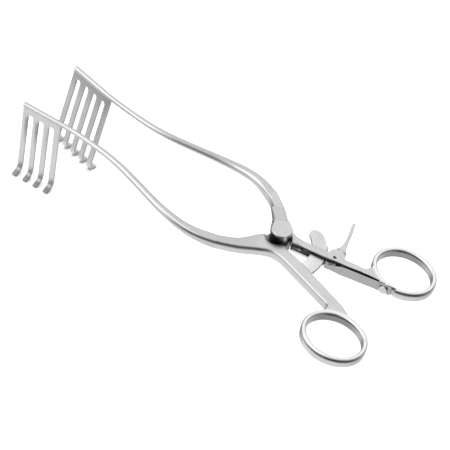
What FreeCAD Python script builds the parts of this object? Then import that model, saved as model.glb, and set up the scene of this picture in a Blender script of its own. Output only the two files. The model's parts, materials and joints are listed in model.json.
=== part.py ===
# Self retaining retractor: two mirrored halves on one pivot, a ratchet bar between the
# handles, a sprung release lever, and a toothed rake at the end of each arm.
# Millimetres. Origin on the pivot axis, in the middle of the handles' thickness.
# +X runs from the pivot to the finger rings, +Y to the far half, +Z up.
import FreeCAD, Part
import math
import os
import Sketcher

V = FreeCAD.Vector
doc = FreeCAD.newDocument("retractor")

# Driving dimensions. Each one is a cell of the spreadsheet, under the same name.
DIMS = {
    "handle_thick": 4.9,      # thickness of shank, elbow and finger ring
    "edge_round": 0.8,        # rounding on the long edges of the handles
    "lap_floor": 0.9,         # top of the near lug, over the middle plane
    "lap_gap": 0.05,          # play between near lug and far tongue
    "tongue_top": 6.0,        # top of the far tongue over the middle plane
    "lug_radius": 7.3,        # round lug of the near half
    "lug_gap": 0.35,          # gap between that lug and the shoulder around it
    "recess_radius": 4.8,     # recess of the near half that takes the tongue
    "pivot_radius": 1.25,     # pivot screw, shank
    "pivot_head_radius": 2.8, # pivot screw, head on the underside
    "pivot_play": 0.04,       # radial play of the near lug on the pivot screw
    "ring_x": 52.9,           # centre of a finger ring
    "ring_y": 27.5,
    "ring_half_long": 15.3,   # outer half axes of a finger ring
    "ring_half_wide": 13.6,
    "ring_band": 2.2,         # width of the ring's band
    "tip_diameter": 2.4,      # round arm at its tip
    "bar_thick": 1.5,         # ratchet bar
    "bar_inner": 17.1,
    "bar_outer": 24.3,
    "bar_end_deg": 61.0,
    "tooth_depth": 0.6,
    "tooth_pitch_deg": 3.0,
    "slot_play": 0.1,         # play over and under bar and lever in their slot
    "lever_x": 26.1,          # lever pin
    "lever_y": 10.0,
    "lever_pin_radius": 0.8,
    "lever_play": 0.04,
    "lever_hub": 2.3,
    "horn_wide": 4.0,         # height of the thumb horn, along Z
    "spring_thick": 0.9,
    "spring_wide": 4.4,
    "prong_wide": 2.7,        # at the top; the slots widen downwards
    "prong_taper": 0.3,       # what each side of a slot gains by its lower end
    "prong_thick": 1.3,
    "near_pitch": 5.77,       # from prong to prong
    "far_pitch": 5.62,
    "rake_reach": 45.6,       # from the arm's middle down to the lowest point
    "near_lean_deg": 5.2,     # the prongs lean to the middle of the instrument
    "far_lean_deg": 7.0,
    "near_hook": 2.1,         # straight end of a hook, past its bend
    "far_hook": 1.8,
    "far_rake_back_deg": 0.7, # the far prongs also lean back a little
    "spring_seat_gap": 0.03,
    "near_slot_top": 4.8,     # from the arm's middle down to the slots
    "far_slot_top": 4.0,
    "hook_radius": 3.4,
}
sheet = doc.addObject("Spreadsheet::Sheet", "dims")
for row, (key, value) in enumerate(DIMS.items(), start=1):
    sheet.set("A%d" % row, key)
    sheet.set("B%d" % row, str(value))
    sheet.setAlias("B%d" % row, key)
doc.recompute()
D = type("Dims", (), DIMS)
HALF = D.handle_thick / 2


def new_body(name):
    body = doc.addObject("PartDesign::Body", name)
    body.Label = name
    return body


def origin_plane(body, role):
    for feature in body.Origin.OriginFeatures:
        if feature.Role == role:
            return feature
    raise ValueError(role)


def flat_sketch(body, name, height=None):
    """A sketch on the body's XY plane. height is an expression, or None for zero."""
    sketch = body.newObject("Sketcher::SketchObject", name)
    sketch.AttachmentSupport = [(origin_plane(body, "XY_Plane"), "")]
    sketch.MapMode = "FlatFace"
    if height:
        sketch.setExpression("AttachmentOffset.Base.z", height)
    return sketch


def frame_sketch(body, name, placement):
    """A sketch on a plane of its own, given from the body's XY plane."""
    sketch = flat_sketch(body, name)
    sketch.AttachmentOffset = placement
    return sketch


def add_edges(sketch, edges):
    for edge in edges:
        sketch.addGeometry(edge, False)
    doc.recompute()


def chain(points):
    """Straight lines from point to point, closed."""
    ring = [V(x, y, 0) for x, y in points]
    return [Part.LineSegment(a, b) for a, b in zip(ring, ring[1:] + ring[:1])]


def line(a, b):
    return Part.LineSegment(V(a[0], a[1], 0), V(b[0], b[1], 0))


def spline(points):
    curve = Part.BSplineCurve()
    curve.interpolate([V(x, y, 0) for x, y in points])
    return curve


def polar(radius, degrees, side=1):
    angle = math.radians(degrees)
    return (radius * math.cos(angle), side * radius * math.sin(angle))


def arc_by_three(a, b, c):
    return Part.Arc(V(a[0], a[1], 0), V(b[0], b[1], 0), V(c[0], c[1], 0))


def pad(body, name, sketch, length, middle=False):
    feature = body.newObject("PartDesign::Pad", name)
    feature.Profile = sketch
    feature.setExpression("Length", length)
    feature.Midplane = middle
    doc.recompute()
    body.Tip = feature
    return feature


def pocket(body, name, sketch, length, middle=False):
    before = body.Shape.Volume
    feature = body.newObject("PartDesign::Pocket", name)
    feature.Profile = sketch
    feature.setExpression("Length", length)
    feature.Midplane = middle
    doc.recompute()
    body.Tip = feature
    if not body.Shape.Volume < before - 1e-3:
        raise RuntimeError("pocket %s cuts nothing" % name)
    return feature


def disc(body, name, x, y, radius, height=None):
    """A circle sketch with its radius bound to an expression."""
    sketch = flat_sketch(body, name, height)
    start = 1.0
    sketch.addGeometry(Part.Circle(V(x, y, 0), V(0, 0, 1), start), False)
    index = sketch.addConstraint(Sketcher.Constraint("Radius", 0, start))
    sketch.setExpression("Constraints[%d]" % index, radius)
    doc.recompute()
    return sketch


# Arms: a round rod, straight along its rake, that thickens into the flat elbow.
FAR, NEAR = 1, -1
TIP = {FAR: (-132.8, 18.3), NEAR: (-132.7, 18.6)}
TIP_HEADING = -7.3
TIP_LENGTH = 24.0
# Stations: x, y of the far arm, y of the near arm, both from the middle line; width and
# height in tip diameters; corner radius as a share, of the far and of the near arm.
ARM_STATIONS = [
    (-95.7, 14.6, 15.05, 1.07, 1.07, 0.49, 0.49),
    (-86.5, 14.6, 15.3, 1.15, 1.15, 0.49, 0.49),
    (-77.7, 15.3, 16.3, 1.24, 1.24, 0.49, 0.49),
    (-68.5, 17.0, 18.2, 1.32, 1.32, 0.49, 0.49),
    (-59.7, 19.2, 20.3, 1.40, 1.40, 0.49, 0.49),
    (-50.0, 21.7, 22.6, 1.52, 1.52, 0.49, 0.49),
    (-41.7, 23.6, 23.9, 1.68, 1.68, 0.48, 0.48),
    (-34.0, 24.7, 24.3, 1.84, 1.82, 0.46, 0.42),
    (-27.7, 24.45, 23.6, 1.95, 1.95, 0.42, 0.32),
    (-22.6, 23.1, 22.2, 2.00, 2.02, 0.34, 0.22),
]
ELBOW = {FAR: (-17.6, 21.3), NEAR: (-18.0, 20.45)}
ELBOW_DIR = (0.907, -0.42)
ELBOW_WIDE = 4.75


def section(body, name, at, along, wide, tall, corner):
    """A rounded rectangle across the arm."""
    along = V(along[0], along[1], 0).normalize()
    across = V(-along.y, along.x, 0)
    turn = FreeCAD.Rotation(across, V(0, 0, 1), along, "ZXY")
    sketch = frame_sketch(body, name, FreeCAD.Placement(V(at[0], at[1], 0), turn))
    a, b, r = wide / 2, tall / 2, corner * min(wide, tall)
    mid = r * math.sqrt(0.5)
    corners = [(a, b, 1, 1), (-a, b, -1, 1), (-a, -b, -1, -1), (a, -b, 1, -1)]
    edges = []
    ends = []
    for x, y, sx, sy in corners:
        cx, cy = x - sx * r, y - sy * r
        first, last = (x, cy), (cx, y)
        if sx * sy < 0:
            first, last = last, first
        edges.append(arc_by_three(first, (cx + sx * mid, cy + sy * mid), last))
        ends.append((first, last))
    loop = []
    for i in range(4):
        loop.append(edges[i])
        loop.append(line(ends[i][1], ends[(i + 1) % 4][0]))
    add_edges(sketch, loop)
    return sketch


def along_tip(distance, side):
    heading = math.radians(TIP_HEADING)
    x, y = TIP[side]
    return (x + distance * math.cos(heading), side * (y + distance * math.sin(heading)))


def make_arm(name, side):
    body = new_body(name)
    start, end = along_tip(TIP_LENGTH - 6, side), along_tip(TIP_LENGTH, side)
    stations = [start + (1.0, 1.0, 0.495), end + (1.0, 1.0, 0.495)]
    for x, far_y, near_y, wide, tall, far_corner, near_corner in ARM_STATIONS:
        y, corner = (far_y, far_corner) if side == FAR else (-near_y, near_corner)
        stations.append((x, y, wide, tall, corner))
    points = [V(TIP[side][0], side * TIP[side][1], 0)] + [V(q[0], q[1], 0) for q in stations]
    elbow = (ELBOW[side][0], side * ELBOW[side][1])
    points.append(V(elbow[0], elbow[1], 0))
    path = Part.BSplineCurve()
    path.interpolate(points)
    heading = math.radians(side * TIP_HEADING)
    straight = V(math.cos(heading), math.sin(heading), 0)
    sketches = []
    for i, (x, y, wide, tall, corner) in enumerate(stations):
        tangent = straight if i < 2 else path.tangent(path.parameter(points[i + 1]))[0]
        sketches.append(
            section(body, "%s_cut%d" % (name, i), (x, y), (tangent.x, tangent.y),
                    wide * D.tip_diameter, tall * D.tip_diameter, corner))
    sketches.append(
        section(body, "%s_end" % name, elbow, (ELBOW_DIR[0], side * ELBOW_DIR[1]),
                ELBOW_WIDE, D.handle_thick, 0.13))
    loft = body.newObject("PartDesign::AdditiveLoft", name + "_loft")
    loft.Profile = sketches[0]
    loft.Sections = sketches[1:]
    doc.recompute()
    body.Tip = loft
    rod = frame_sketch(body, name + "_tip", tip_placement(side))
    rod.addGeometry(Part.Circle(V(0, 0, 0), V(0, 0, 1), D.tip_diameter / 2), False)
    doc.recompute()
    pad(body, name + "_rod", rod, str(TIP_LENGTH - 6))
    return body


def tip_placement(side):
    """A frame at the arm's tip, with its Z along the rod to the pivot."""
    heading = math.radians(side * TIP_HEADING)
    along = V(math.cos(heading), math.sin(heading), 0)
    across = V(-along.y, along.x, 0)
    turn = FreeCAD.Rotation(across, V(0, 0, 1), along, "ZXY")
    return FreeCAD.Placement(V(TIP[side][0], side * TIP[side][1], 0), turn)


# Handles: elbow, shank and finger ring, one forging with the arm.
FAR_OUTER_BEND = [(-10.6, 19.7), (-6.8, 16.9), (-2.5, 13.0), (1.5, 9.8), (4.2, 8.4),
                  (6.9, 7.9), (10.4, 8.15), (13.2, 8.85)]
NEAR_OUTER_BEND = [(-11.0, 19.2), (-7.2, 16.6), (-2.8, 12.9), (1.3, 9.7), (3.8, 8.3),
                   (6.5, 7.8), (10.2, 8.0), (13.2, 8.7)]
# Where the shank meets the ring, from the ring's own sizes.
RING_LEFT = D.ring_x - 0.83 * D.ring_half_long
RING_LOW = D.ring_y - D.ring_half_wide
RING_MEET = (RING_LEFT, D.ring_y - 0.4926 * D.ring_half_wide)
OUTER_END = (RING_LEFT - 2.0, RING_LOW + 0.8)
RING_CORNER = [OUTER_END, (RING_LEFT, RING_LOW + 1.9), (RING_LEFT + 0.5, RING_LOW + 3.7),
               RING_MEET]
RING_JOIN = [RING_MEET, (D.ring_x - 0.4, RING_LOW + 0.95 * D.ring_band),
             (D.ring_x - 0.4, RING_LOW + 0.32 * D.ring_band)]
FAR_INNER_BEND = [(-7.9, 8.6), (-10.1, 12.5), (-13.1, 15.7)]
NEAR_INNER_BEND = [(-3.2, -4.0), (-3.6, -1.2), (-4.6, 1.2), (-6.2, 3.6), (-8.6, 8.0),
                   (-11.1, 12.2), (-13.8, 14.8)]
INNER_END = (D.ring_x - 7.4, RING_LOW - 2.9)
NEAR_INNER_SWELL = (18.0, 3.6)


def elbow_corners(side):
    """The two ends of the edge where elbow and arm meet: inner, outer."""
    out = (-ELBOW_DIR[1], ELBOW_DIR[0])
    reach = ELBOW_WIDE / 2 / math.hypot(*out)
    x, y = ELBOW[side]
    inner = (x - out[0] * reach, side * (y - out[1] * reach))
    outer = (x + out[0] * reach, side * (y + out[1] * reach))
    return inner, outer


def flip(points, side):
    return [(x, side * y) for x, y in points]


def open_chain(points):
    return [line(a, b) for a, b in zip(points, points[1:])]


def handle_outline(side, lug):
    """Elbow and shank. With lug, the outline runs around a round lug on the pivot;
    without it, around a hollow that clears the other half's lug."""
    inner, outer = elbow_corners(side)
    radius = D.lug_radius if lug else D.lug_radius + D.lug_gap
    right = polar(radius, 15, side)
    left = polar(radius, -115 if lug else 142, side)
    inner_bend = NEAR_INNER_BEND if lug else FAR_INNER_BEND
    middle = polar(radius, -90 if lug else 83, side)
    outer_bend = NEAR_OUTER_BEND if lug else FAR_OUTER_BEND
    edges = [spline([outer] + flip(outer_bend, side))]
    edges += open_chain(flip([outer_bend[-1], OUTER_END], side))
    edges += [spline(flip(RING_CORNER, side))]
    inner_line = [INNER_END, NEAR_INNER_SWELL] if lug else [INNER_END]
    edges += open_chain(flip(RING_JOIN + inner_line, side) + [right])
    edges += [arc_by_three(right, middle, left)]
    edges += [spline([left] + flip(inner_bend, side) + [inner])]
    edges += [line(inner, outer)]
    return edges


def oval(body, name, side, a, b):
    sketch = flat_sketch(body, name)
    centre = V(D.ring_x, side * D.ring_y, 0)
    sketch.addGeometry(Part.Ellipse(centre, a, b), False)
    doc.recompute()
    return sketch


def add_handle(name, side, lug):
    """Plate and finger ring, with their long edges rounded."""
    body = new_body(name)
    outline = flat_sketch(body, name + "_outline")
    add_edges(outline, handle_outline(side, lug))
    pad(body, name + "_plate", outline, "dims.handle_thick", middle=True)
    outer = oval(body, name + "_oval", side, D.ring_half_long, D.ring_half_wide)
    pad(body, name + "_ring", outer, "dims.handle_thick", middle=True)
    inner = oval(body, name + "_inner", side,
                 D.ring_half_long - D.ring_band, D.ring_half_wide - D.ring_band)
    pocket(body, name + "_opening", inner, "dims.handle_thick + 2", middle=True)
    fillet(body, name + "_round", long_edges(body.Shape), "dims.edge_round")
    return body


def long_edges(shape):
    """Edges on the top and bottom face, but for the pivot and the arm's end."""
    names = []
    for i, edge in enumerate(shape.Edges):
        box = edge.BoundBox
        flat = box.ZLength < 1e-6 and abs(abs(box.ZMin) - HALF) < 1e-6
        centre = edge.valueAt((edge.FirstParameter + edge.LastParameter) / 2)
        if not flat:
            continue
        if math.hypot(centre.x, centre.y) < D.lug_radius + 0.5:
            continue
        if min(abs(centre.x - x) for x, _ in ELBOW.values()) < 0.05:
            continue
        names.append("Edge%d" % (i + 1))
    return names


def fillet(body, name, names, radius):
    base = body.Tip
    feature = body.newObject("PartDesign::Fillet", name)
    feature.Base = (base, names)
    feature.setExpression("Radius", radius)
    doc.recompute()
    body.Tip = feature
    return feature


near_arm = make_arm("near_arm", NEAR)
far_arm = make_arm("far_arm", FAR)

# Near half: a round lug under the far tongue, a recess over it, and a slot in its
# inner face that holds the ratchet bar.
near_handle = add_handle("near_handle", NEAR, True)
UPPER = "dims.handle_thick / 2 - dims.lap_floor"
recess = disc(near_handle, "near_recess_circle", 0, 0, "dims.recess_radius",
              "dims.handle_thick / 2")
pocket(near_handle, "near_recess", recess, UPPER)
beyond = flat_sketch(near_handle, "near_beyond_box", "dims.handle_thick / 2")
add_edges(beyond, chain([(-9, -1.4), (9, -1.4), (9, 9), (-9, 9)]))
pocket(near_handle, "near_beyond", beyond, UPPER)
hole = disc(near_handle, "near_hole_circle", 0, 0,
            "dims.pivot_radius + dims.pivot_play", "dims.handle_thick / 2")
pocket(near_handle, "near_hole", hole, "dims.handle_thick")
sink = disc(near_handle, "near_sink_circle", 0, 0,
            "dims.pivot_head_radius + 0.15", "1.3 - dims.handle_thick / 2")
pocket(near_handle, "near_sink", sink, "1.5")

BAR_ROOT_DEG = -22.0
TEETH_FROM_DEG = -9.0
TEETH = 16


def sector(inner, outer, start, end):
    mid = (start + end) / 2
    return [
        arc_by_three(polar(outer, start), polar(outer, mid), polar(outer, end)),
        line(polar(outer, end), polar(inner, end)),
        arc_by_three(polar(inner, end), polar(inner, mid), polar(inner, start)),
        line(polar(inner, start), polar(outer, start)),
    ]


root = flat_sketch(near_handle, "near_bar_sector")
add_edges(root, sector(D.bar_inner, D.bar_outer, BAR_ROOT_DEG, -5.0))
pocket(near_handle, "near_bar_slot", root, "dims.bar_thick", middle=True)

# Ratchet bar: a flat arc about the pivot, with teeth on the ring side.
ratchet_bar = new_body("ratchet_bar")
bar = flat_sketch(ratchet_bar, "bar_outline")
last_tooth = TEETH_FROM_DEG + TEETH * D.tooth_pitch_deg
tip_edges = [arc_by_three(polar(D.bar_outer, BAR_ROOT_DEG),
                          polar(D.bar_outer, (BAR_ROOT_DEG + TEETH_FROM_DEG) / 2),
                          polar(D.bar_outer, TEETH_FROM_DEG))]
low = D.bar_outer - D.tooth_depth
for tooth in range(TEETH):
    start = TEETH_FROM_DEG + tooth * D.tooth_pitch_deg
    end = start + D.tooth_pitch_deg
    tip_edges.append(line(polar(D.bar_outer, start), polar(low, end)))
    if tooth < TEETH - 1:
        tip_edges.append(line(polar(low, end), polar(D.bar_outer, end)))
tab = [polar(low, last_tooth), polar(low - 0.2, 50), polar(22.7, 58), polar(21.7, 62.5),
       polar(19.6, D.bar_end_deg + 3.5), polar(17.6, D.bar_end_deg), polar(D.bar_inner, 54)]
tip_edges.append(spline(tab))
tip_edges.append(arc_by_three(polar(D.bar_inner, 54), polar(D.bar_inner, 16),
                              polar(D.bar_inner, BAR_ROOT_DEG)))
tip_edges.append(line(polar(D.bar_inner, BAR_ROOT_DEG), polar(D.bar_outer, BAR_ROOT_DEG)))
add_edges(bar, tip_edges)
pad(ratchet_bar, "bar_plate", bar, "dims.bar_thick", middle=True)

# Far half: a tongue over the near lug, a window for the ratchet bar, a slot for the
# lever with an ear around its pin, and a relief for the leaf spring.
far_handle = add_handle("far_handle", FAR, False)
TONGUE = [(-12.5, 13.6), (-8.2, 8.8), (-5.3, 5.0), (-4.0, 2.1), (-2.6, -0.8), (-0.4, -2.0),
          (2.2, -1.8), (4.3, -0.4), (5.4, 2.1), (5.1, 5.0), (3.2, 7.2), (-0.5, 9.5),
          (-6.2, 14.9), (-11.0, 18.5)]
TONGUE_FLOOR = "dims.lap_floor + dims.lap_gap"
tongue = flat_sketch(far_handle, "far_tongue_outline", TONGUE_FLOOR)
add_edges(tongue, [spline(TONGUE), line(TONGUE[-1], TONGUE[0])])
pad(far_handle, "far_tongue", tongue, "dims.tongue_top - dims.lap_floor - dims.lap_gap")
RAMP_DEG = 125.0
RAMP_FROM, RAMP_TO = 7.0, 19.0
along = V(math.cos(math.radians(RAMP_DEG)), math.sin(math.radians(RAMP_DEG)), 0)
up = V(0, 0, 1)
turn = FreeCAD.Rotation(along, up, along.cross(up), "ZXY")
ramp = frame_sketch(far_handle, "far_ramp_triangle", FreeCAD.Placement(V(0, 0, 0), turn))
add_edges(ramp, chain([(RAMP_FROM, D.tongue_top), (RAMP_TO, HALF), (24, HALF), (24, 9),
                       (RAMP_FROM, 9)]))
pocket(far_handle, "far_ramp", ramp, "24", middle=True)
ear = disc(far_handle, "far_ear_circle", 26.1, 11.7, "3.9")
pad(far_handle, "far_ear", ear, "dims.handle_thick", middle=True)
TOP_RAIL = [(7.5, 3.4), (10.2, 4.4), (15.4, 5.5), (22.5, 7.1), (27.0, 8.4)]
shelf = flat_sketch(far_handle, "far_shelf_outline", "dims.handle_thick / 2 + 1")
add_edges(shelf, chain(TOP_RAIL + [(27.0, 1.0), (6.8, 1.0)]))
pocket(far_handle, "far_shelf", shelf, "dims.handle_thick / 2 + 1 + dims.lap_floor")
SEAT_FROM = (D.ring_x - 4.3, RING_LOW - 0.6)
SEAT_TO = (D.ring_x + 3.6, RING_LOW + 1.375)
relief = flat_sketch(far_handle, "far_relief_outline")
add_edges(relief, chain([TOP_RAIL[-1], (34.4, 10.3), (RING_LEFT - 1.0, RING_LOW - 2.0),
                         (D.ring_x - 9.4, RING_LOW - 0.95), (D.ring_x - 4.9, RING_LOW),
                         SEAT_FROM, SEAT_TO, (SEAT_TO[0], 9.0), (27.0, 1.0)]))
pocket(far_handle, "far_relief", relief, "dims.handle_thick + 2", middle=True)
SLOT = "dims.bar_thick + 2 * dims.slot_play"
window = flat_sketch(far_handle, "far_window_sector")
add_edges(window, sector(D.bar_inner - 0.4, D.bar_outer + 0.4, 2.0, 60.0))
pocket(far_handle, "far_window", window, SLOT, middle=True)
slit = flat_sketch(far_handle, "far_slit_outline")
add_edges(slit, chain([(11.6, 1.5), (18.0, 3.0), (18.0, 7.3), (11.6, 5.8)]))
pocket(far_handle, "far_slit", slit, SLOT, middle=True)
gate = flat_sketch(far_handle, "far_lever_slot_outline")
add_edges(gate, chain([(21.0, 4.0), (28.2, 5.0), (29.8, 9.0), (30.6, 17.5), (20.5, 17.5)]))
pocket(far_handle, "far_lever_slot", gate, SLOT, middle=True)
pin_hole = disc(far_handle, "far_pin_circle", D.lever_x, D.lever_y,
                "dims.lever_pin_radius", "dims.handle_thick / 2")
pocket(far_handle, "far_pin_hole", pin_hole, "dims.handle_thick")
thread = disc(far_handle, "far_thread_circle", 0, 0, "dims.pivot_radius", "4.8")
pocket(far_handle, "far_thread", thread, "4.8 - dims.lap_floor")
SCREW_AT = (D.ring_x - 1.6, RING_LOW + 0.075)
SEAT_OUT = V(0.2425, -0.9701, 0)
SEAT_ALONG = V(0.9701, 0.2425, 0)
seat_turn = FreeCAD.Rotation(SEAT_ALONG, up, SEAT_OUT, "ZXY")


def seat_disc(body, name, radius, out):
    """A circle about the spring screw, out millimetres off the seat."""
    base = V(SCREW_AT[0], SCREW_AT[1], 0) + SEAT_OUT * out
    sketch = frame_sketch(body, name, FreeCAD.Placement(base, seat_turn))
    sketch.addGeometry(Part.Circle(V(0, 0, 0), V(0, 0, 1), radius), False)
    doc.recompute()
    return sketch


screw_hole = seat_disc(far_handle, "far_screw_circle", 0.8, 0.0)
pocket(far_handle, "far_screw_hole", screw_hole, "1.5")

# Pivot screw: from below through the near lug into the far tongue.
pivot_screw = new_body("pivot_screw")
shank = disc(pivot_screw, "pivot_shank_circle", 0, 0, "dims.pivot_radius", "-1.2")
pad(pivot_screw, "pivot_shank", shank, "6.0")
head = disc(pivot_screw, "pivot_head_circle", 0, 0, "dims.pivot_head_radius", "-2.35")
pad(pivot_screw, "pivot_head", head, "1.15")
cut = flat_sketch(pivot_screw, "pivot_slot_outline", "-1.75")
add_edges(cut, chain([(-4, -0.4), (4, -0.4), (4, 0.4), (-4, 0.4)]))
pocket(pivot_screw, "pivot_slot", cut, "1.0")

# Release lever: hub and toe in the slot, and a thumb horn on edge outside it.
release_lever = new_body("release_lever")
hub = disc(release_lever, "lever_hub_circle", D.lever_x, D.lever_y, "dims.lever_hub")
pad(release_lever, "lever_hub", hub, "dims.bar_thick", middle=True)
TOE = [(23.37, 6.88), (24.25, 6.0), (25.4, 5.9), (28.0, 8.7), (24.2, 11.2), (24.1, 7.9)]
toe = flat_sketch(release_lever, "lever_toe_outline")
add_edges(toe, chain(TOE))
pad(release_lever, "lever_toe", toe, "dims.bar_thick", middle=True)
neck = flat_sketch(release_lever, "lever_neck_outline")
add_edges(neck, chain([(23.85, 9.6), (28.35, 9.6), (27.9, 17.0), (24.1, 17.0)]))
pad(release_lever, "lever_neck", neck, "dims.bar_thick", middle=True)
HORN_LEFT = [(23.4, 15.9), (23.95, 17.6), (23.5, 21.3), (22.3, 25.7), (20.8, 29.5),
             (19.3, 34.4)]
HORN_RIGHT = [(20.4, 34.7), (22.0, 30.8), (23.2, 27.3), (24.5, 23.7), (26.0, 19.8),
              (28.2, 16.15)]
horn = flat_sketch(release_lever, "lever_horn_outline")
add_edges(horn, [spline(HORN_LEFT), line(HORN_LEFT[-1], HORN_RIGHT[0]),
                 spline(HORN_RIGHT), line(HORN_RIGHT[-1], HORN_LEFT[0])])
pad(release_lever, "lever_horn", horn, "dims.horn_wide", middle=True)
bore = disc(release_lever, "lever_bore_circle", D.lever_x, D.lever_y,
            "dims.lever_pin_radius + dims.lever_play")
pocket(release_lever, "lever_bore", bore, "6", middle=True)

lever_pin = new_body("lever_pin")
pin = disc(lever_pin, "pin_circle", D.lever_x, D.lever_y, "dims.lever_pin_radius")
pad(lever_pin, "pin_rod", pin, "dims.handle_thick - 0.5", middle=True)

# Leaf spring: a strip on edge along the far shank, its free end at the lever's toe.
SPRING_TIP = (24.4, 4.9)
SPRING_KNEE = (RING_LEFT + 1.4, RING_LOW - 2.85)


def past_knee(share, sag):
    """A point a share of the way from the spring's tip to its knee, off the straight line."""
    return (SPRING_TIP[0] + share * (SPRING_KNEE[0] - SPRING_TIP[0]),
            SPRING_TIP[1] + share * (SPRING_KNEE[1] - SPRING_TIP[1]) + sag)


SPRING_OUTER = [(D.ring_x + 1.7, RING_LOW + 0.87), (D.ring_x - 3.3, RING_LOW - 0.38),
                (D.ring_x - 7.0, RING_LOW - 1.5), SPRING_KNEE,
                past_knee(0.7150747, 0.2522906), past_knee(0.3953259, 0.3687460),
                past_knee(0.1511540, 0.1504029), SPRING_TIP]


def offset(points, distance):
    """The same open line, moved to its right. Its first stretch is straight."""
    curve = spline(points[1:])
    first = V(points[1][0] - points[0][0], points[1][1] - points[0][1], 0).normalize()
    moved = [(points[0][0] + first.y * distance, points[0][1] - first.x * distance)]
    for x, y in points[1:]:
        tangent = curve.tangent(curve.parameter(V(x, y, 0)))[0]
        moved.append((x + tangent.y * distance, y - tangent.x * distance))
    return moved


def strip(body, name, points, thick):
    """A bent strip: a straight seat, then one smooth curve to the free end."""
    other = offset(points, thick)
    sketch = flat_sketch(body, name)
    add_edges(sketch, [line(points[0], points[1]), spline(points[1:]),
                       line(points[-1], other[-1]), spline(other[:0:-1]),
                       line(other[1], other[0]), line(other[0], points[0])])
    return sketch


leaf_spring = new_body("leaf_spring")
leaf = strip(leaf_spring, "spring_outline", SPRING_OUTER, -D.spring_thick)
pad(leaf_spring, "spring_leaf", leaf, "dims.spring_wide", middle=True)
narrow = FreeCAD.Placement(V(0, 0, 0), FreeCAD.Rotation(V(1, 0, 0), 90))
for sign in (1, -1):
    taper = frame_sketch(leaf_spring, "spring_taper_%s" % ("up" if sign > 0 else "down"),
                         narrow)
    add_edges(taper, chain([(SPRING_TIP[0] + x, sign * z)
                            for x, z in ((-1.4, 1.1), (3.1, 1.1), (8.6, 2.4), (-1.4, 2.4))]))
    pocket(leaf_spring, "spring_cut_%s" % ("up" if sign > 0 else "down"), taper, "30",
           middle=True)
spring_hole = seat_disc(leaf_spring, "spring_screw_circle", 0.8, 2.0)
pocket(leaf_spring, "spring_hole", spring_hole, "4")

spring_screw = new_body("spring_screw")
stem = seat_disc(spring_screw, "screw_stem_circle", 0.8, -1.5)
pad(spring_screw, "screw_stem", stem, "1.5 + dims.spring_thick + dims.spring_seat_gap")
cap = seat_disc(spring_screw, "screw_cap_circle", 1.95, D.spring_thick + D.spring_seat_gap)
pad(spring_screw, "screw_cap", cap, "1.0")


# Rakes: a flat strip under the arm's tip, cut into prongs, with its lower end bent out.
def prong_profile(side, lean_deg, tip):
    lean = math.radians(lean_deg)
    half = D.prong_thick / 2
    radius = D.hook_radius
    last = math.radians(-12.0)
    drop = radius * math.sin(lean) + (radius + half) * math.cos(last) + 0.25
    length = (D.rake_reach - drop) / math.cos(lean)

    def at(distance, heading, start):
        left = (-math.sin(heading), math.cos(heading))
        return (start[0] + left[0] * distance, start[1] + left[1] * distance)

    first = -math.pi / 2 - lean
    foot = (length * math.cos(first), length * math.sin(first))
    centre = at(radius, first, foot)

    def on_arc(heading, distance):
        return at(-distance, heading, centre)

    middle = (first + last) / 2
    end = on_arc(last, radius)
    point = (end[0] + tip * math.cos(last), end[1] + tip * math.sin(last))
    inner = radius - half
    outer = radius + half
    points = {
        "a": at(half, first, (0, 0)), "b": on_arc(first, inner),
        "c": on_arc(middle, inner), "d": on_arc(last, inner),
        "e": at(0.35, last, point), "f": at(-0.35, last, point),
        "g": on_arc(last, outer), "h": on_arc(middle, outer),
        "i": on_arc(first, outer), "j": at(-half, first, (0, 0)),
    }
    p = {key: (side * x, y) for key, (x, y) in points.items()}
    return [line(p["a"], p["b"]), arc_by_three(p["b"], p["c"], p["d"]),
            line(p["d"], p["e"]), line(p["e"], p["f"]), line(p["f"], p["g"]),
            arc_by_three(p["g"], p["h"], p["i"]), line(p["i"], p["j"]),
            line(p["j"], p["a"])]


def plane_sketch(body, name, role):
    sketch = body.newObject("Sketcher::SketchObject", name)
    sketch.AttachmentSupport = [(origin_plane(body, role), "")]
    sketch.MapMode = "FlatFace"
    return sketch


def make_rake(name, side, prongs, pitch, sizes):
    lean_deg, hook, back_deg, slot_top = sizes
    body = new_body(name + "_blank")
    profile = plane_sketch(body, name + "_profile", "YZ_Plane")
    add_edges(profile, prong_profile(side, lean_deg, hook))
    pad(body, name + "_strip", profile,
        "%d * dims.%s + dims.prong_wide" % (prongs - 1, pitch))
    slots = plane_sketch(body, name + "_slots_outline", "XZ_Plane")
    edges = []
    for k in range(prongs - 1):
        left = D.prong_wide + k * DIMS[pitch]
        right = (k + 1) * DIMS[pitch]
        bow = (right - left) / 2
        top = -slot_top - bow
        wider = D.prong_taper * 70 / D.rake_reach
        low_left, low_right = (left - wider, -70), (right + wider, -70)
        edges += [arc_by_three((left, top), (left + bow, top + bow), (right, top)),
                  line((right, top), low_right), line(low_right, low_left),
                  line(low_left, (left, top))]
    add_edges(slots, edges)
    pocket(body, name + "_slots", slots, "60", middle=True)
    body.Placement = FreeCAD.Placement(
        V(TIP[side][0], side * TIP[side][1], 0),
        FreeCAD.Rotation(V(0, 0, 1), side * TIP_HEADING)
        * FreeCAD.Rotation(V(0, 1, 0), back_deg))
    rod = doc.addObject("Part::Cylinder", name + "_saddle")
    rod.setExpression("Radius", "dims.tip_diameter / 2")
    rod.Height = 60
    rod.Placement = tip_placement(side) * FreeCAD.Placement(V(0, 0, -30), FreeCAD.Rotation())
    rake = doc.addObject("Part::Cut", name)
    rake.Label = name
    rake.Base = body
    rake.Tool = rod
    doc.recompute()
    return rake


near_rake = make_rake("near_rake", NEAR, 4, "near_pitch",
                      (D.near_lean_deg, D.near_hook, 0, D.near_slot_top))
far_rake = make_rake("far_rake", FAR, 5, "far_pitch",
                     (D.far_lean_deg, D.far_hook, D.far_rake_back_deg, D.far_slot_top))

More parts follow.
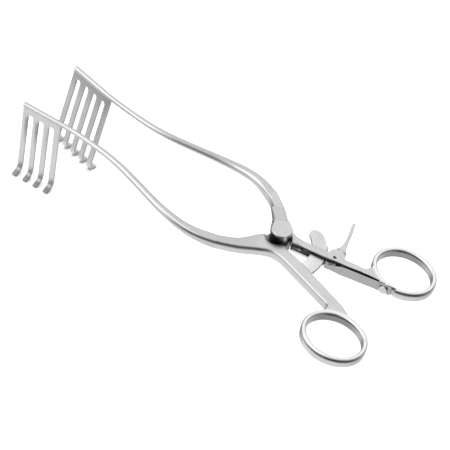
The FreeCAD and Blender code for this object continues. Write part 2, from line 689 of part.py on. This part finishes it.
doc.recompute()
NODES = [near_arm, near_handle, near_rake, ratchet_bar, far_arm, far_handle, far_rake,
         pivot_screw, release_lever, lever_pin, leaf_spring, spring_screw]
for obj in doc.Objects:
    if "Invalid" in obj.State or "Error" in obj.State:
        raise RuntimeError("%s: %s" % (obj.Label, obj.State))
for node in NODES:
    shape = node.Shape
    if shape.isNull() or not shape.isValid():
        raise RuntimeError("bad shape: " + node.Label)
os.makedirs("parts", exist_ok=True)
for node in NODES:
    node.Shape.exportStep("parts/%s.step" % node.Label)
    print(node.Label, len(node.Shape.Solids), round(node.Shape.Volume, 1))
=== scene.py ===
"""Looks of the self retaining retractor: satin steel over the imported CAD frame."""

import json
import math

import bpy
from mathutils import Matrix, Vector


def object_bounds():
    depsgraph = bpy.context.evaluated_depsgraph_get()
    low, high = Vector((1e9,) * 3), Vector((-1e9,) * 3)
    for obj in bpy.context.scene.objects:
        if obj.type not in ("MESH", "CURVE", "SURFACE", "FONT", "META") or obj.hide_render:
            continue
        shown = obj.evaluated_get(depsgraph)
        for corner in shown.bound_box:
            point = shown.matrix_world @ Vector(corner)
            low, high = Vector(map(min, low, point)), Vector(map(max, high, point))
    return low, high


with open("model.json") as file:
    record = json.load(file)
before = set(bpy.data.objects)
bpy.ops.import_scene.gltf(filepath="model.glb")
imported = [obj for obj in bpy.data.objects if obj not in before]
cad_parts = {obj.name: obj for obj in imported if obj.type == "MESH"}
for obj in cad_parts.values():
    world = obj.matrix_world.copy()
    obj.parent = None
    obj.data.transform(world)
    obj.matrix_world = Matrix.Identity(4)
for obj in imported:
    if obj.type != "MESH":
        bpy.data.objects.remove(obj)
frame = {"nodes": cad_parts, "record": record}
cad_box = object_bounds()
scene = bpy.context.scene
MM = 0.001

# Places on the part, in millimetres.
MOUNTS = {mount["name"]: mount["pos_m"] for mount in frame["record"]["mounts"]}
RING_AT = [value / MM for value in MOUNTS["far_finger_opening"]]    # the near one has -Y
RING_OPENING = (13.1, 11.4)       # half axes of its opening
NEAR_ELBOW = (-18.0, -20.45)      # middle of the cut between arm and handle
FAR_ELBOW = (-17.6, 21.3)
ELBOW_DIR = (0.907, 0.42)         # direction across the far cut; the near one has -Y
SHANK_FROM = 0.0                  # X where the elbow ends and the shank begins
SHANK_FADE = 6.0                  # along X, from elbow to shank and from shank to ring
RING_FROM = 38.0                  # X where the shank ends
NEAR_RAKE_LEFT = min(v.co.x for v in frame["nodes"]["near_arm"].data.vertices) / MM
NEAR_PRONG_STEP = 5.73            # along X, from prong to prong
RECESS_AT = (1.4, -1.0, 1.4)      # middle of the painted shade under the boss
# Boxes of painted shade, under the top rail and on the boss.
RAIL_WALL = ((6.0, 2.8, -0.1), (30.0, 9.2, 1.6))     # low and high corners
BOSS_WALL = ((-4.0, -4.0, 0.9), (2.5, 2.0, 4.6))
FRONT = (0.45, -0.89, 0.0)        # level, toward the side that the photograph shows

# Colours of the steel.
LIGHT = (0.66, 0.66, 0.655, 1)
DARK = (0.58, 0.58, 0.575, 1)
# A darker copy of the same steel for the arms and the far rake: painted shade.
ARM_SHADED_LIGHT = (0.60, 0.60, 0.595, 1)
ARM_SHADED_DARK = (0.54, 0.54, 0.535, 1)
FAR_RAKE_SHADED_DARK = (0.5, 0.5, 0.495, 1)
GROUND = (0.85, 0.85, 0.84, 1)
SPRING_LIGHT = (0.44, 0.44, 0.43, 1)
SPRING_DARK = (0.36, 0.36, 0.35, 1)
PIN_LIGHT = (0.06, 0.06, 0.06, 1)
PIN_DARK = (0.04, 0.04, 0.04, 1)
DRAWN_LINE = (0.35, 0.36, 0.37, 1)
# Bright steel blended in on edges, partly polished wear and partly painted highlight, and for
# painted highlights.
POLISH_AND_HIGHLIGHT = (0.93, 0.93, 0.92, 1)
# Painted shade: the near-black blended in for painted shade and painted dark reflections.
PAINTED_SHADE_COLOUR = (0.02, 0.02, 0.02, 1)

# The steel's noises: their scales per metre, and the spans of their values that count.
CLOUD_SCALE = 90.0
BLAST_SCALE = 3200.0
DRAWN_SCALE = (220.0, 5200.0, 2600.0)
CLOUD_SPAN = (0.3, 0.7)
DRAWN_SPAN = (0.35, 0.65)

# The steel's finish. Lengths are in millimetres.
DRAWN_SHARE = 0.16
# Edges: where polished wear and a painted highlight go.
EDGE_WEAR_AND_HIGHLIGHT_SPAN = (0.995, 0.85)         # cosine between a flat and a rounded normal
# Painted shade in nooks: how far ambient occlusion reaches, and its span.
NOOK_SHADE_REACH = 4.0
NOOK_SHADE_SPAN = (0.25, 0.8)
PATCHY_SPAN = (0.2, 0.6, 0.85, 1.0)    # of the cloud, and the shares of painted shade it leaves
SEAM_SPAN = (0.5, 1.6)
CLOUD_GLOSS = 0.05
BLAST_GLOSS = 0.04
WORN_GLOSS = 0.08
BUMP_STRENGTH = 0.35
BUMP_DEPTH = 0.02
DRAWN_BUMP = 0.6

# Painted light and shade: painted reflections of a dark horizon, painted shade and painted
# highlights. A span goes from none to full: of X or Z in millimetres, of the tilt or the
# front of a normal, or of the way out of a ring.
# A painted reflection of a dark horizon.
HORIZON_Z = (0.3, 1.4)
HORIZON_TILT = (0.85, 0.55)
HORIZON_ARM_X = (-50.0, -37.0)
HORIZON_RING_FRONT = (0.25, 0.9)
HORIZON_ELBOW = 0.9
HORIZON_SHANK = 0.2
HORIZON_RING = 0.95
HORIZON_RING_SIDE = 0.08
# Painted shade on the front wall of a finger opening.
WALL_OUT = (1.05, 1.0)
WALL_FRONT = (0.1, 0.9)
NEAR_WALL = 0.62
FAR_WALL = 0.56
# A painted highlight on the band of a finger ring.
BAND_OUT = (1.24, 1.14)
BAND_TILT = (0.2, 0.6)
BAND_SIDE = (0.9, 0.3)
BAND_SHARE = 0.75
# A painted dark streak on the far arm: painted shade.
STREAK_BEGIN_X = (-82.0, -69.0)
STREAK_END_X = (-38.0, -50.0)
STREAK_LOW_TILT = (0.1, 0.4)
STREAK_HIGH_TILT = (0.95, 0.7)
STREAK_SHARE = 0.65
# Painted shade in the recess under the boss.
RECESS_FULL = 2.2
RECESS_NONE = 6.2
RECESS_SHARE = 0.97
# Painted shade on the near elbow's flat top.
ELBOW_SHADE_TILT = (0.8, 0.95)
ELBOW_SHADE_X = (SHANK_FROM, -8.0)
ELBOW_SHADE_SHARE = 0.13
# Painted shade on the wall under the top rail and on the boss.
RAIL_SOFT = 0.5
BOSS_SOFT = 0.9
BOSS_SHARE = 0.85
# A painted dark streak down each near prong: painted shade.
PRONG_PHASE = (0.22, 0.34)
PRONG_TOP_Z = (-5.5, -8.5)
PRONG_LOW_Z = (-26.0, -14.0)
PRONG_ALONG_X = (-115.0, -125.0)
PRONG_SHARE = 0.5
# Painted shade on the near hooks.
NEAR_HOOK_Z = (-38.0, -43.0)
NEAR_HOOK_SHARE = 0.5
# A painted highlight on the far hooks.
FAR_HOOK_Z = (-39.0, -43.0)
FAR_HOOK_SHARE = 0.4
# Painted shade on the far rake's top, under the rod.
ROD_SHADE_Z = (-14.0, -2.0)
ROD_SHADE_SHARE = 0.3
# A painted highlight on the slope from the far elbow up to the boss.
SLOPE_LOW_TILT = (0.8, 0.88)
SLOPE_HIGH_TILT = (0.98, 0.95)
SLOPE_X = (0.0, -3.0)
SLOPE_SHARE = 0.38


class Nodes:
    """Short calls for building a node tree."""

    def __init__(self, tree):
        self.tree = tree
        tree.nodes.clear()

    def add(self, kind, **values):
        node = self.tree.nodes.new(kind)
        for key, value in values.items():
            setattr(node, key, value)
        return node

    def feed(self, socket, value):
        """Gives a socket another node's output or a plain value."""
        if isinstance(value, bpy.types.NodeSocket):
            self.tree.links.new(value, socket)
        else:
            socket.default_value = value

    def math(self, operation, a, b=None, clamp=False):
        node = self.add("ShaderNodeMath", operation=operation, use_clamp=clamp)
        self.feed(node.inputs[0], a)
        if b is not None:
            self.feed(node.inputs[1], b)
        return node.outputs[0]

    def product(self, first, *others):
        for other in others:
            first = self.math("MULTIPLY", first, other)
        return first

    def highest(self, first, *others):
        for other in others:
            first = self.math("MAXIMUM", first, other)
        return first

    def vector(self, operation, a, b=None):
        node = self.add("ShaderNodeVectorMath", operation=operation)
        self.feed(node.inputs[0], a)
        if b is not None:
            self.feed(node.inputs[1], b)
        number = operation in ("DOT_PRODUCT", "DISTANCE", "LENGTH")
        return node.outputs["Value" if number else "Vector"]

    def parts(self, vector):
        split = self.add("ShaderNodeSeparateXYZ")
        self.feed(split.inputs[0], vector)
        return list(split.outputs)

    def noise(self, vector, scale, detail=2.0):
        node = self.add("ShaderNodeTexNoise")
        self.feed(node.inputs["Vector"], vector)
        self.feed(node.inputs["Scale"], scale)
        self.feed(node.inputs["Detail"], detail)
        return node.outputs["Fac"]

    def stretch(self, vector, scale, turn):
        node = self.add("ShaderNodeMapping")
        node.inputs["Rotation"].default_value = (0, 0, turn)
        node.inputs["Scale"].default_value = scale
        self.feed(node.inputs["Vector"], vector)
        return node.outputs["Vector"]

    def remap(self, value, low, high, to_low, to_high):
        node = self.add("ShaderNodeMapRange")
        for name, number in (("Value", value), ("From Min", low), ("From Max", high),
                             ("To Min", to_low), ("To Max", to_high)):
            self.feed(node.inputs[name], number)
        return node.outputs["Result"]

    def grow(self, value, none, full, share=1.0):
        """0 where value is none, share where it is full, and a straight slope between."""
        return self.remap(value, none, full, 0.0, share)

    def mix(self, kind, factor, a, b):
        """A mix of colours (RGBA) or of vectors (VECTOR)."""
        node = self.add("ShaderNodeMix", data_type=kind)
        self.feed(node.inputs["Factor"], factor)
        ends = {s.name: s for s in node.inputs if s.type == kind}
        self.feed(ends["A"], a)
        self.feed(ends["B"], b)
        return [s for s in node.outputs if s.type == kind][0]

    def blend(self, factor, a, b):
        return self.mix("RGBA", factor, a, b)


class Spot:
    """Where a shaded point lies, in millimetres of object space, and how it faces."""

    def __init__(self, n, place, normal):
        self.n = n
        self.place = n.vector("MULTIPLY", place, (1 / MM, 1 / MM, 1 / MM))
        self.x, self.y, self.z = n.parts(self.place)
        self.tilt = n.parts(normal)[2]                      # 1 upward, 0 level
        self.front = n.vector("DOT_PRODUCT", normal, FRONT)  # 1 level to the front

    def inside(self, box, soft):
        """1 inside a box, falling to 0 over soft."""
        share = 1.0
        for value, low, high in zip((self.x, self.y, self.z), *box):
            share = self.n.product(self.n.grow(value, low - soft, low),
                                   self.n.grow(value, high + soft, high), share)
        return share

    def around(self, centre, full, none):
        """1 within full of a point, falling to 0 at none."""
        return self.n.grow(self.n.vector("DISTANCE", self.place, centre), none, full)

    def ring_away(self, side):
        """How far out of a finger ring's middle it is: 1 on the edge of the opening."""
        n = self.n
        centred = n.vector("SUBTRACT", self.place, (RING_AT[0], side * RING_AT[1], 0))
        scale = (1 / RING_OPENING[0], 1 / RING_OPENING[1], 0)
        return n.vector("LENGTH", n.vector("MULTIPLY", centred, scale))


def horizon_reflection(spot, where):
    """A painted reflection of a dark horizon under the steel's upper edges, fading downwards.
    """
    n = spot.n
    return n.product(n.grow(spot.z, *HORIZON_Z), n.grow(spot.tilt, *HORIZON_TILT), where)


def handle_horizon_reflection(spot, elbow_share):
    """That painted reflection on a handle: dark at the front of the ring, and faint on the
    shank.
    """
    n = spot.n
    toward_ring = n.remap(spot.x, RING_FROM, RING_FROM + SHANK_FADE,
                          HORIZON_SHANK, HORIZON_RING)
    at_front = n.remap(spot.front, *HORIZON_RING_FRONT, HORIZON_RING_SIDE, 1.0)
    before = n.remap(spot.x, SHANK_FROM, SHANK_FROM + SHANK_FADE, elbow_share, HORIZON_SHANK)
    return horizon_reflection(spot, n.highest(before, n.product(toward_ring, at_front)))


def ring_wall(spot, side):
    """1 on the front-facing wall of a finger opening, 0 outside it."""
    n = spot.n
    return n.product(n.grow(spot.ring_away(side), *WALL_OUT), n.grow(spot.front, *WALL_FRONT))


def ring_band_highlight(spot, side):
    """The band of a finger ring, made lighter except on its front walls: a painted highlight.
    """
    n = spot.n
    not_front = n.highest(n.grow(spot.tilt, *BAND_TILT), n.grow(spot.front, *BAND_SIDE))
    return n.product(n.grow(spot.ring_away(side), *BAND_OUT, BAND_SHARE), not_front)


def near_arm_painted_shade(spot):
    """The painted reflection of the dark horizon, dying out where the arm becomes round."""
    return horizon_reflection(spot, spot.n.grow(spot.x, *HORIZON_ARM_X, HORIZON_ELBOW))


def far_arm_painted_shade(spot):
    """A painted dark streak, painted shade, along the middle of the arm's front side."""
    n = spot.n
    return n.product(n.grow(spot.x, *STREAK_BEGIN_X, STREAK_SHARE),
                     n.grow(spot.x, *STREAK_END_X),
                     n.grow(spot.tilt, *STREAK_LOW_TILT),
                     n.grow(spot.tilt, *STREAK_HIGH_TILT))


def near_handle_painted_shade(spot):
    """Painted shade in the recess under the boss, on the wall of the finger opening and on
    the elbow's flat top, a little darker than the rest, and the painted reflection of the
    horizon."""
    n = spot.n
    recess = n.product(spot.around(RECESS_AT, RECESS_FULL, RECESS_NONE), RECESS_SHARE)
    wall = n.product(ring_wall(spot, -1), NEAR_WALL)
    elbow_top_shade = n.product(n.grow(spot.tilt, *ELBOW_SHADE_TILT), n.grow(spot.x, *ELBOW_SHADE_X, ELBOW_SHADE_SHARE))
    return n.highest(recess, wall, elbow_top_shade, handle_horizon_reflection(spot, HORIZON_ELBOW))


def far_handle_painted_shade(spot):
    """Painted shade on the wall under the top rail, on the boss and on the wall of the finger
    opening, and the painted reflection of the horizon, which the far elbow doesn't have."""
    n = spot.n
    rail = spot.inside(RAIL_WALL, RAIL_SOFT)
    boss = n.product(spot.inside(BOSS_WALL, BOSS_SOFT), BOSS_SHARE)
    wall = n.product(ring_wall(spot, 1), FAR_WALL)
    return n.highest(rail, boss, wall, handle_horizon_reflection(spot, 0.0))


def near_rake_painted_shade(spot):
    """Painted shade on the hooks and in a streak down the upper right of each prong but the
    last.
    """
    n = spot.n
    from_left = n.math("SUBTRACT", spot.x, NEAR_RAKE_LEFT)
    phase = n.math("FRACT", n.math("DIVIDE", from_left, NEAR_PRONG_STEP))
    streak = n.product(n.grow(phase, *PRONG_PHASE, PRONG_SHARE),
                       n.grow(spot.z, *PRONG_TOP_Z), n.grow(spot.z, *PRONG_LOW_Z),
                       n.grow(spot.x, *PRONG_ALONG_X))
    return n.highest(streak, n.grow(spot.z, *NEAR_HOOK_Z, NEAR_HOOK_SHARE))


def far_rake_painted_shade(spot):
    """The top, in the shade of the rod."""
    return spot.n.grow(spot.z, *ROD_SHADE_Z, ROD_SHADE_SHARE)


def near_handle_painted_highlight(spot):
    """A painted highlight on the finger ring."""
    return ring_band_highlight(spot, -1)


def far_handle_painted_highlight(spot):
    """A painted highlight on the finger ring and on the slope from the elbow up to the boss.
    """
    n = spot.n
    slope = n.product(n.grow(spot.tilt, *SLOPE_LOW_TILT, SLOPE_SHARE),
                      n.grow(spot.tilt, *SLOPE_HIGH_TILT), n.grow(spot.x, *SLOPE_X))
    return n.highest(ring_band_highlight(spot, 1), slope)


def far_rake_painted_highlight(spot):
    """A painted highlight on the hooks."""
    return spot.n.grow(spot.z, *FAR_HOOK_Z, FAR_HOOK_SHARE)


def off_seam(n, place, elbow):
    """0 on the cut between arm and handle, which are one forging, and 1 away from it."""
    x, y = elbow
    across = (ELBOW_DIR[0], math.copysign(ELBOW_DIR[1], -y), 0)
    run = n.vector("DOT_PRODUCT", n.vector("SUBTRACT", place, (x * MM, y * MM, 0)), across)
    return n.grow(n.math("ABSOLUTE", run), SEAM_SPAN[0] * MM, SEAM_SPAN[1] * MM)


def steel(name, light, dark, rough, turn, bevel=0.35, edge=0.5, nook_shade_tone=0.05, elbow=None,
          painted_shade=None, bright=None):
    """Satin steel: blasted grain, drawn lines along turn, cloudy wear, bright edges of bevel
    millimetres (partly polished wear, partly painted highlight), and painted shade in nooks.
    Of the last two arguments, the first gives the share of painted shade at a spot, and the
    second the share of painted highlight."""
    material = bpy.data.materials.new(name)
    material.use_nodes = True
    n = Nodes(material.node_tree)
    place = n.add("ShaderNodeTexCoord").outputs["Object"]
    cloud = n.noise(place, CLOUD_SCALE, 3.0)
    blast = n.noise(place, BLAST_SCALE, 1.0)
    drawn = n.noise(n.stretch(place, DRAWN_SCALE, turn), 1.0)

    flat = n.add("ShaderNodeNewGeometry").outputs["Normal"]
    rounded = n.add("ShaderNodeBevel", samples=4)
    rounded.inputs["Radius"].default_value = bevel * MM
    normal = rounded.outputs["Normal"]
    if elbow:
        normal = n.mix("VECTOR", off_seam(n, place, elbow), flat, normal)
    edge_wear_and_highlight = n.grow(n.vector("DOT_PRODUCT", normal, flat), *EDGE_WEAR_AND_HIGHLIGHT_SPAN)
    spot = Spot(n, place, normal)

    tone = n.blend(n.grow(cloud, *CLOUD_SPAN), dark, light)
    tone = n.blend(n.grow(drawn, *DRAWN_SPAN, DRAWN_SHARE), tone, DRAWN_LINE)
    # Bright edges, partly polished wear and partly painted highlight, and the painted
    # highlights.
    polish_and_highlight = n.product(edge_wear_and_highlight, edge)
    if bright:
        polish_and_highlight = n.highest(polish_and_highlight, bright(spot))
    tone = n.blend(polish_and_highlight, tone, POLISH_AND_HIGHLIGHT)
    # Painted shade in nooks, from ambient occlusion.
    nook_shade = n.add("ShaderNodeAmbientOcclusion", samples=6)
    nook_shade.inputs["Distance"].default_value = NOOK_SHADE_REACH * MM
    open_share = n.grow(nook_shade.outputs["AO"], *NOOK_SHADE_SPAN)
    tone = n.blend(open_share, (nook_shade_tone, nook_shade_tone, nook_shade_tone, 1), tone)
    # Painted shade and painted dark reflections, made patchy by the cloud.
    if painted_shade:
        patchy = n.remap(cloud, *PATCHY_SPAN)
        tone = n.blend(n.product(painted_shade(spot), patchy), tone, PAINTED_SHADE_COLOUR)

    uneven = n.remap(cloud, *CLOUD_SPAN, -CLOUD_GLOSS, CLOUD_GLOSS)
    fine = n.remap(blast, *CLOUD_SPAN, -BLAST_GLOSS, BLAST_GLOSS)
    gloss = n.math("ADD", n.math("ADD", uneven, fine), rough)
    gloss = n.math("SUBTRACT", gloss, n.product(edge_wear_and_highlight, WORN_GLOSS), clamp=True)
    bump = n.add("ShaderNodeBump")
    bump.inputs["Strength"].default_value = BUMP_STRENGTH
    bump.inputs["Distance"].default_value = BUMP_DEPTH * MM
    n.feed(bump.inputs["Height"], n.math("ADD", blast, n.product(drawn, DRAWN_BUMP)))
    n.feed(bump.inputs["Normal"], normal)

    shader = n.add("ShaderNodeBsdfPrincipled")
    shader.inputs["Metallic"].default_value = 1.0
    n.feed(shader.inputs["Base Color"], tone)
    n.feed(shader.inputs["Roughness"], gloss)
    n.feed(shader.inputs["Normal"], bump.outputs["Normal"])
    out = n.add("ShaderNodeOutputMaterial")
    n.feed(out.inputs["Surface"], shader.outputs["BSDF"])
    return material


ALONG = math.radians(15)          # the handles' direction, turned from X
SATIN = 0.32                      # roughnesses
RAKE_SATIN = 0.34
TURNED = 0.28
DARKENED = 0.3
FINE_GROUND = 0.25
MATERIALS = {
    "near_arm": steel("satin_near_arm", ARM_SHADED_LIGHT, ARM_SHADED_DARK, SATIN, turn=ALONG, bevel=0.8,
                      elbow=NEAR_ELBOW, painted_shade=near_arm_painted_shade),
    "near_handle": steel("satin_near_handle", LIGHT, DARK, SATIN, turn=ALONG, bevel=0.9,
                         nook_shade_tone=0.1, elbow=NEAR_ELBOW, painted_shade=near_handle_painted_shade,
                         bright=near_handle_painted_highlight),
    "near_rake": steel("satin_near_rake", LIGHT, DARK, RAKE_SATIN, turn=0.0,
                       painted_shade=near_rake_painted_shade),
    "ratchet_bar": steel("ground_bar", GROUND, DARK, FINE_GROUND, turn=1.2),
    "far_arm": steel("satin_far_arm", ARM_SHADED_LIGHT, ARM_SHADED_DARK, SATIN, turn=-ALONG,
                     elbow=FAR_ELBOW, painted_shade=far_arm_painted_shade),
    "far_handle": steel("satin_far_handle", LIGHT, DARK, SATIN, turn=-ALONG, bevel=0.5,
                        edge=0.85, nook_shade_tone=0.2, elbow=FAR_ELBOW, painted_shade=far_handle_painted_shade,
                        bright=far_handle_painted_highlight),
    "far_rake": steel("satin_far_rake", ARM_SHADED_LIGHT, FAR_RAKE_SHADED_DARK, RAKE_SATIN, turn=0.0,
                      painted_shade=far_rake_painted_shade, bright=far_rake_painted_highlight),
    "pivot_screw": steel("turned_screw", LIGHT, DARK, TURNED, turn=0.4),
    "release_lever": steel("satin_lever", LIGHT, DARK, SATIN, turn=1.4),
    "lever_pin": steel("dark_pin", PIN_LIGHT, PIN_DARK, DARKENED, turn=0.0, edge=0.1),
    "leaf_spring": steel("spring_steel", SPRING_LIGHT, SPRING_DARK, DARKENED, turn=-0.3),
    "spring_screw": steel("turned_spring_screw", LIGHT, DARK, TURNED, turn=0.9),
}
for name, material in MATERIALS.items():
    mesh = frame["nodes"][name].data
    mesh.materials.clear()
    mesh.materials.append(material)


FLOOR_SIZE = 6.0                  # metres
FLOOR_GAP = 0.2                   # millimetres under the lowest hook
PAPER_SCALE = 600.0
PAPER_DARK = (0.93, 0.93, 0.93, 1)
PAPER_LIGHT = (0.95, 0.95, 0.95, 1)
PAPER_ROUGH = 0.9


def floor_plane():
    """A wide pale floor just under the hooks."""
    low = cad_box[0].z - FLOOR_GAP * MM
    bpy.ops.mesh.primitive_plane_add(size=FLOOR_SIZE, location=(0, 0, low))
    plane = bpy.context.object
    plane.name = "floor"
    material = bpy.data.materials.new("pale_floor")
    material.use_nodes = True
    n = Nodes(material.node_tree)
    paper = n.noise(n.add("ShaderNodeTexCoord").outputs["Object"], PAPER_SCALE)
    tone = n.blend(n.grow(paper, *CLOUD_SPAN), PAPER_DARK, PAPER_LIGHT)
    shader = n.add("ShaderNodeBsdfPrincipled")
    shader.inputs["Roughness"].default_value = PAPER_ROUGH
    n.feed(shader.inputs["Base Color"], tone)
    out = n.add("ShaderNodeOutputMaterial")
    n.feed(out.inputs["Surface"], shader.outputs["BSDF"])
    plane.data.materials.append(material)
    plane.visible_glossy = False


# Soft cards around the object: direction, inner and outer edge (cosines), added strength.
# The last one is dark.
CARDS = [
    ((-0.50, -0.65, 0.57), 0.93, 0.66, 1.9),
    ((-0.32, 0.63, 0.71), 0.95, 0.60, 0.85),
    ((-0.75, 0.45, -0.50), 0.97, 0.78, -0.55),
]
ROOM = 0.28
TABLE_GLOW = 0.84     # light of the table in front of the object
TABLE_BACK = 0.6      # the share of it that the table behind the object has
TABLE_UP = (-0.2, -0.5)
TABLE_DEEP = (-0.2, 0.35)


def studio():
    """A dim room with soft bright cards, which the steel mirrors."""
    world = bpy.data.worlds.new("studio")
    scene.world = world
    world.use_nodes = True
    n = Nodes(world.node_tree)
    toward = n.add("ShaderNodeTexCoord").outputs["Generated"]
    _, back, up = n.parts(toward)
    table = n.product(n.grow(up, *TABLE_UP, TABLE_GLOW),
                      n.remap(back, *TABLE_DEEP, 1.0, TABLE_BACK))
    level = n.math("ADD", table, ROOM)
    for centre, inner, outer, strength in CARDS:
        aim = n.vector("DOT_PRODUCT", toward, Vector(centre).normalized())
        level = n.math("ADD", n.grow(aim, outer, inner, strength), level)
    glow = n.add("ShaderNodeBackground")
    n.feed(glow.inputs["Strength"], level)
    glow.inputs["Color"].default_value = (1.0, 1.0, 1.0, 1)
    out = n.add("ShaderNodeOutputWorld")
    n.feed(out.inputs["Surface"], glow.outputs[0])


LAMP_SIZE = 1.6                   # metres
LAMP_HEIGHT = 1.6
LAMP_POWER = 26.0


def overhead_lamp():
    """A large soft lamp over the object."""
    data = bpy.data.lights.new("overhead", "AREA")
    data.size = LAMP_SIZE
    data.energy = LAMP_POWER
    lamp = bpy.data.objects.new("overhead", data)
    scene.collection.objects.link(lamp)
    lamp.location = (0, 0, LAMP_HEIGHT)
    lamp.visible_glossy = False


# The camera, worked out from points of the photograph and the model.
CAMERA_AT = (0.30503, -0.65268, 0.72326)
CAMERA_RIGHT = Vector((0.7782, 0.6007, 0.1832))
CAMERA_UP = Vector((-0.5407, 0.4925, 0.6820))
CAMERA_BACK = Vector((0.3194, -0.6298, 0.7080))
CAMERA_LENS = 182.7


def photo_camera():
    """The camera of the photograph."""
    data = bpy.data.cameras.new("camera")
    data.lens = CAMERA_LENS
    data.sensor_width = 36.0
    data.clip_start = 0.05
    data.clip_end = 20.0
    camera = bpy.data.objects.new("camera", data)
    scene.collection.objects.link(camera)
    axes = Matrix((CAMERA_RIGHT, CAMERA_UP, CAMERA_BACK)).transposed()
    camera.matrix_world = Matrix.Translation(CAMERA_AT) @ axes.to_4x4()
    scene.camera = camera


floor_plane()
studio()
overhead_lamp()
photo_camera()
scene.view_settings.view_transform = "Standard"
scene.view_settings.look = "None"
scene.view_settings.exposure = 0.0
